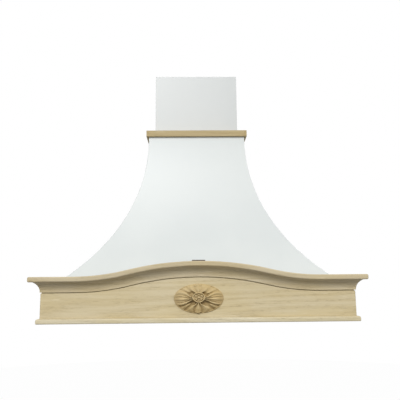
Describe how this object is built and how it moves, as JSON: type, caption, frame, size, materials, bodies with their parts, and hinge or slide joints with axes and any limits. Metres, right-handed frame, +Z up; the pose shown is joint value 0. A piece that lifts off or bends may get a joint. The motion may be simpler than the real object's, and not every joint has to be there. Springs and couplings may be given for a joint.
{
  "type": "wooden range hood cover",
  "caption": "Wall-hung range hood cover: flared white canopy on an arched oak mantle with a carved oval, oak collar, sliding chimney and a built-in extractor insert.",
  "frame": {"origin": "middle of the cover's footprint, level with the underside of the bottom trim", "axes": "+X to the viewer's right, +Y towards the wall, +Z up"},
  "size_m": [0.941, 0.5, 0.8215],
  "materials": {
    "raw_oak": "raw sanded oak, unfinished",
    "carved_oak": "raw carved oak",
    "white_paint": "white satin paint over board",
    "plywood": "birch plywood, unfinished",
    "pine": "planed pine, unfinished",
    "satin_steel": "brushed stainless sheet",
    "dark_steel": "dark bronze coating",
    "zinc_screws": "zinc plated, for the small fasteners",
    "aluminium": "satin",
    "grey_plastic": "matte moulded",
    "black_plastic": "matte moulded",
    "zinc_sheet": "galvanised sheet",
    "motor_grey": "enamelled",
    "bright_steel": "ground steel",
    "lamp_glass": "frosted glass"
  },
  "bodies": {
    "cover": {"front_fascia": "raw_oak", "left_fascia": "raw_oak", "right_fascia": "raw_oak", "front_crown": "raw_oak", "left_crown": "raw_oak", "right_crown": "raw_oak", "front_trim": "raw_oak", "left_trim": "raw_oak", "right_trim": "raw_oak", "front_collar": "raw_oak", "left_collar": "raw_oak", "right_collar": "raw_oak", "rosette": "carved_oak", "canopy_front": "white_paint", "left_canopy": "white_paint", "right_canopy": "white_paint", "front_sill": "plywood", "left_sill": "plywood", "right_sill": "plywood", "base_panel": "plywood", "middle_former": "plywood", "ledge_former": "plywood", "neck_ring": "plywood", "lower_rail": "plywood", "hanging_rail": "plywood", "panel_battens": "pine", "corner_blocks": "pine", "uprights": "pine", "insert_panel": "satin_steel", "housing_walls": "satin_steel", "housing_top": "satin_steel", "filter_hinges": "satin_steel", "lamp_housings": "satin_steel", "arch_bracket": "dark_steel", "cable_gland": "black_plastic", "blower_scroll": "grey_plastic", "outlet_plate": "zinc_sheet", "motor_spider": "zinc_sheet", "fan_motor": "motor_grey", "outlet_spigot": "zinc_sheet", "damper_rod": "bright_steel", "lamp_lenses": "lamp_glass", "switch_unit": "black_plastic"},
    "chimney": {"chimney_front": "white_paint", "left_chimney": "white_paint", "right_chimney": "white_paint", "chimney_battens": "pine", "chimney_stretchers": "pine"},
    "left_filter": {"left_filter_frame": "aluminium", "left_filter_baffle": "aluminium"},
    "right_filter": {"right_filter_frame": "aluminium", "right_filter_baffle": "aluminium"},
    "left_latch": {"left_filter_latch": "black_plastic"},
    "right_latch": {"right_filter_latch": "black_plastic"},
    "impeller": {"fan_impeller": "zinc_sheet", "fan_shaft": "bright_steel"},
    "front_flap": {"front_damper": "zinc_sheet"},
    "rear_flap": {"rear_damper": "zinc_sheet"},
    "fan_switch": {"fan_knob": "grey_plastic"},
    "light_switch": {"light_knob": "grey_plastic"}
  },
  "joints": [
    {"name": "chimney_slide", "type": "slide", "parent": "cover", "child": "chimney", "axis": [0, 0, 1], "range_m": [0, 0.17]},
    {"name": "left_filter_hinge", "type": "hinge", "parent": "cover", "child": "left_filter", "pos_m": [-0.135, 0.1795, 0.0325], "axis": [1, 0, 0], "range_deg": [0, 85]},
    {"name": "left_latch_slide", "type": "slide", "parent": "left_filter", "child": "left_latch", "axis": [0, -1, 0], "range_m": [0, 0.003]},
    {"name": "right_filter_hinge", "type": "hinge", "parent": "cover", "child": "right_filter", "pos_m": [0.135, 0.1795, 0.0325], "axis": [1, 0, 0], "range_deg": [0, 85]},
    {"name": "right_latch_slide", "type": "slide", "parent": "right_filter", "child": "right_latch", "axis": [0, -1, 0], "range_m": [0, 0.003]},
    {"name": "impeller_spin", "type": "hinge", "parent": "cover", "child": "impeller", "pos_m": [0, 0.0725, 0.11], "axis": [1, 0, 0], "continuous": true},
    {"name": "front_flap_hinge", "type": "hinge", "parent": "cover", "child": "front_flap", "pos_m": [0, 0.1105, 0.22], "axis": [-1, 0, 0], "range_deg": [0, 80]},
    {"name": "rear_flap_hinge", "type": "hinge", "parent": "cover", "child": "rear_flap", "pos_m": [0, 0.1105, 0.22], "axis": [1, 0, 0], "range_deg": [0, 80]},
    {"name": "fan_switch_slide", "type": "slide", "parent": "cover", "child": "fan_switch", "axis": [1, 0, 0], "range_m": [0, 0.024]},
    {"name": "light_switch_slide", "type": "slide", "parent": "cover", "child": "light_switch", "axis": [1, 0, 0], "range_m": [0, 0.01]}
  ]
}
